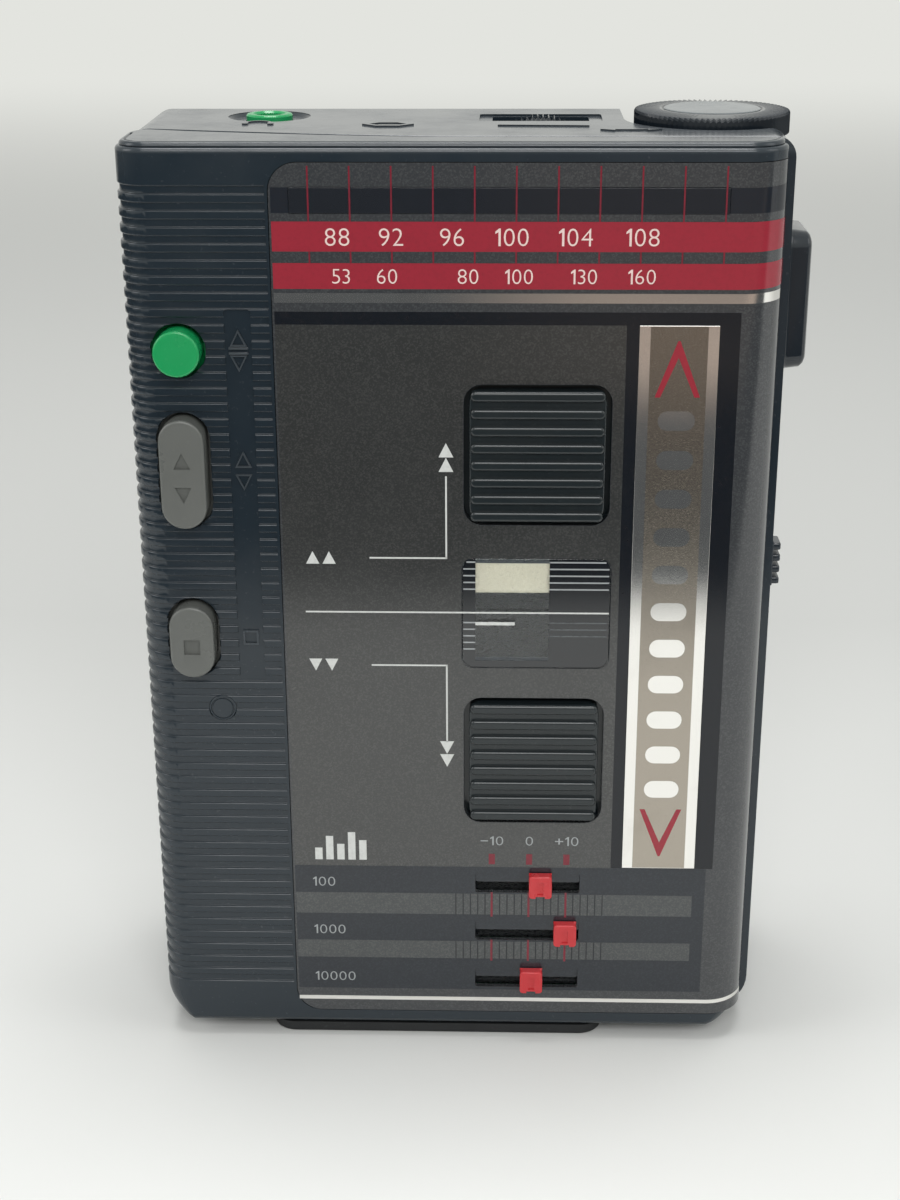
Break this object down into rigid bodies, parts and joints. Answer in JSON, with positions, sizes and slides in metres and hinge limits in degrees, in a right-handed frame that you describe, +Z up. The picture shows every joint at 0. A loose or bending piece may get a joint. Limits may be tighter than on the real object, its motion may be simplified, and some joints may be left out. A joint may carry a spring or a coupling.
{
  "type": "portable cassette player",
  "caption": "Pocket radio cassette player with a hinged front lid, ribbed key strip, fast-wind pads, equalizer sliders, tuning knob and volume wheel, for compact cassettes.",
  "frame": {"origin": "on the surface under the foot, in the middle of the case's width and depth", "axes": "+Z up, the front face with the keys faces -Y, +X to the right seen from the front"},
  "size_m": [0.086, 0.036, 0.1255],
  "materials": {
    "black_abs": "satin moulded",
    "printed_plate": "gloss over dark metallic print",
    "clear_lens": "clear",
    "mirror_foil": "metallised",
    "grey_abs": "satin",
    "green_abs": "gloss",
    "red_abs": "gloss",
    "steel": "plated sheet",
    "brass": "turned",
    "rubber": "matt",
    "board": "solder resist",
    "black_component": "moulded",
    "white_acetal": "natural",
    "felt": "pressed felt",
    "ferrite": "sintered"
  },
  "bodies": {
    "cabinet": {"rear_cabinet": "black_abs", "base_foot": "rubber", "hinge_pin": "steel", "case_screws": "steel", "battery_tub": "black_abs", "battery_contacts": "steel", "main_board": "board", "board_parts": "black_component", "mechanism_plate": "steel", "flywheel_bracket": "steel", "drive_motor": "steel", "drive_belt": "rubber", "key_switches": "black_component", "phone_jack": "green_abs", "volume_pot": "steel", "tuning_capacitor": "white_acetal", "dial_rail": "steel", "dial_cord": "white_acetal", "cord_rollers": "white_acetal", "ferrite_rod": "ferrite", "selector_body": "steel"},
    "lid": {"lid_shell": "black_abs", "face_plate": "printed_plate", "cassette_window": "clear_lens", "cassette_cushion": "felt", "dial_lens": "clear_lens", "trim_strip": "mirror_foil", "indicator_lens": "black_abs", "eq_board": "board", "eq_pots": "steel", "pad_springs": "steel", "cassette_springs": "steel"},
    "play_button": {"play_button": "grey_abs"},
    "stop_button": {"stop_button": "grey_abs"},
    "direction_button": {"direction_button": "green_abs"},
    "upper_pad": {"upper_pad": "black_abs"},
    "lower_pad": {"lower_pad": "black_abs"},
    "eq_low": {"eq_slider_low": "red_abs"},
    "eq_mid": {"eq_slider_mid": "red_abs"},
    "eq_high": {"eq_slider_high": "red_abs"},
    "battery_cover": {"battery_cover": "black_abs"},
    "flywheel_lower": {"flywheel_lower": "brass"},
    "flywheel_upper": {"flywheel_upper": "brass"},
    "motor_pulley": {"motor_pulley": "brass"},
    "belt_roller": {"belt_roller": "white_acetal"},
    "reel_idler": {"reel_idler": "rubber"},
    "reel_upper": {"reel_upper": "white_acetal"},
    "reel_lower": {"reel_lower": "white_acetal"},
    "head": {"head_plate": "steel", "tape_head": "steel"},
    "pinch_upper": {"pinch_roller_upper": "rubber"},
    "pinch_lower": {"pinch_roller_lower": "rubber"},
    "latch_plate": {"latch_plate": "steel"},
    "tuning": {"tuning_knob": "black_abs", "tuning_drum": "white_acetal"},
    "pointer": {"dial_pointer": "red_abs"},
    "volume": {"volume_wheel": "black_abs"},
    "release": {"lid_release": "black_abs", "latch_strip": "steel"},
    "selector": {"selector_knob": "black_abs"}
  },
  "joints": [
    {"name": "lid_hinge", "type": "hinge", "parent": "cabinet", "child": "lid", "pos_m": [-0.0382, -0.00815, 0.0645], "axis": [0, 0, -1], "range_deg": [0, 90]},
    {"name": "play_press", "type": "slide", "parent": "lid", "child": "play_button", "axis": [0, 1, 0], "range_m": [0, 0.0025], "stiffness_N_per_m": 200, "springref_m": -0.001},
    {"name": "stop_press", "type": "slide", "parent": "lid", "child": "stop_button", "axis": [0, 1, 0], "range_m": [0, 0.0025], "stiffness_N_per_m": 200, "springref_m": -0.001},
    {"name": "direction_press", "type": "slide", "parent": "lid", "child": "direction_button", "axis": [0, 1, 0], "range_m": [0, 0.0015], "stiffness_N_per_m": 200, "springref_m": -0.001},
    {"name": "upper_pad_press", "type": "slide", "parent": "lid", "child": "upper_pad", "axis": [0, 1, 0], "range_m": [0, 0.0012], "stiffness_N_per_m": 200, "springref_m": -0.001},
    {"name": "lower_pad_press", "type": "slide", "parent": "lid", "child": "lower_pad", "axis": [0, 1, 0], "range_m": [0, 0.0012], "stiffness_N_per_m": 200, "springref_m": -0.001},
    {"name": "eq_low_slide", "type": "slide", "parent": "lid", "child": "eq_low", "axis": [1, 0, 0], "range_m": [-0.006, 0.0047]},
    {"name": "eq_mid_slide", "type": "slide", "parent": "lid", "child": "eq_mid", "axis": [1, 0, 0], "range_m": [-0.01055, 0.00015]},
    {"name": "eq_high_slide", "type": "slide", "parent": "lid", "child": "eq_high", "axis": [1, 0, 0], "range_m": [-0.0071, 0.0036]},
    {"name": "battery_cover_hinge", "type": "hinge", "parent": "cabinet", "child": "battery_cover", "pos_m": [-0.03775, 0.01635, 0.056], "axis": [0, 0, 1], "range_deg": [0, 90]},
    {"name": "flywheel_lower_spin", "type": "hinge", "parent": "cabinet", "child": "flywheel_lower", "pos_m": [-0.01729, 0.005, 0.0385], "axis": [0, 1, 0], "continuous": true},
    {"name": "flywheel_upper_spin", "type": "hinge", "parent": "cabinet", "child": "flywheel_upper", "pos_m": [-0.01729, 0.005, 0.0905], "axis": [0, 1, 0], "continuous": true},
    {"name": "motor_spin", "type": "hinge", "parent": "cabinet", "child": "motor_pulley", "pos_m": [0.02602, 0.005, 0.03], "axis": [0, 1, 0], "continuous": true},
    {"name": "belt_roller_spin", "type": "hinge", "parent": "cabinet", "child": "belt_roller", "pos_m": [-0.00899, 0.005, 0.1056], "axis": [0, 1, 0], "continuous": true},
    {"name": "idler_spin", "type": "hinge", "parent": "cabinet", "child": "reel_idler", "pos_m": [-0.00699, 0.003, 0.0887], "axis": [0, 1, 0], "continuous": true},
    {"name": "reel_upper_spin", "type": "hinge", "parent": "cabinet", "child": "reel_upper", "pos_m": [0.00992, 0, 0.08575], "axis": [0, 1, 0], "continuous": true},
    {"name": "reel_lower_spin", "type": "hinge", "parent": "cabinet", "child": "reel_lower", "pos_m": [0.00992, 0, 0.04325], "axis": [0, 1, 0], "continuous": true},
    {"name": "head_slide", "type": "slide", "parent": "cabinet", "child": "head", "axis": [1, 0, 0], "range_m": [0, 0.005]},
    {"name": "pinch_upper_spin", "type": "hinge", "parent": "head", "child": "pinch_upper", "pos_m": [-0.02689, -0.005, 0.0905], "axis": [0, 1, 0], "continuous": true},
    {"name": "pinch_lower_spin", "type": "hinge", "parent": "head", "child": "pinch_lower", "pos_m": [-0.02689, -0.005, 0.0385], "axis": [0, 1, 0], "continuous": true},
    {"name": "latch_slide", "type": "slide", "parent": "cabinet", "child": "latch_plate", "axis": [0, 0, -1], "range_m": [0, 0.0025]},
    {"name": "tuning_turn", "type": "hinge", "parent": "cabinet", "child": "tuning", "pos_m": [0.0323, 0.005, 0.12], "axis": [0, 0, 1], "range_deg": [-152, 152]},
    {"name": "pointer_slide", "type": "slide", "parent": "cabinet", "child": "pointer", "axis": [1, 0, 0], "range_m": [-0.01835, 0.01835]},
    {"name": "volume_turn", "type": "hinge", "parent": "cabinet", "child": "volume", "pos_m": [0.0105, 0.0065, 0.1152], "axis": [0, 1, 0], "range_deg": [-140, 140]},
    {"name": "release_slide", "type": "slide", "parent": "cabinet", "child": "release", "axis": [0, 0, -1], "range_m": [0, 0.0025], "stiffness_N_per_m": 150, "springref_m": -0.001},
    {"name": "selector_slide", "type": "slide", "parent": "cabinet", "child": "selector", "axis": [0, 0, 1], "range_m": [-0.003, 0.003]}
  ],
  "couplings": [
    {"joint": "head_slide", "follows": "play_press", "ratio": 2},
    {"joint": "latch_slide", "follows": "stop_press", "ratio": 1},
    {"joint": "flywheel_upper_spin", "follows": "flywheel_lower_spin", "ratio": -1},
    {"joint": "motor_spin", "follows": "flywheel_lower_spin", "ratio": 1.9184},
    {"joint": "belt_roller_spin", "follows": "flywheel_lower_spin", "ratio": 1.9184},
    {"joint": "idler_spin", "follows": "flywheel_lower_spin", "ratio": 0.5},
    {"joint": "reel_upper_spin", "follows": "flywheel_lower_spin", "ratio": -0.3399},
    {"joint": "pointer_slide", "follows": "tuning_turn", "m_per_rad": 0.0069}
  ]
}
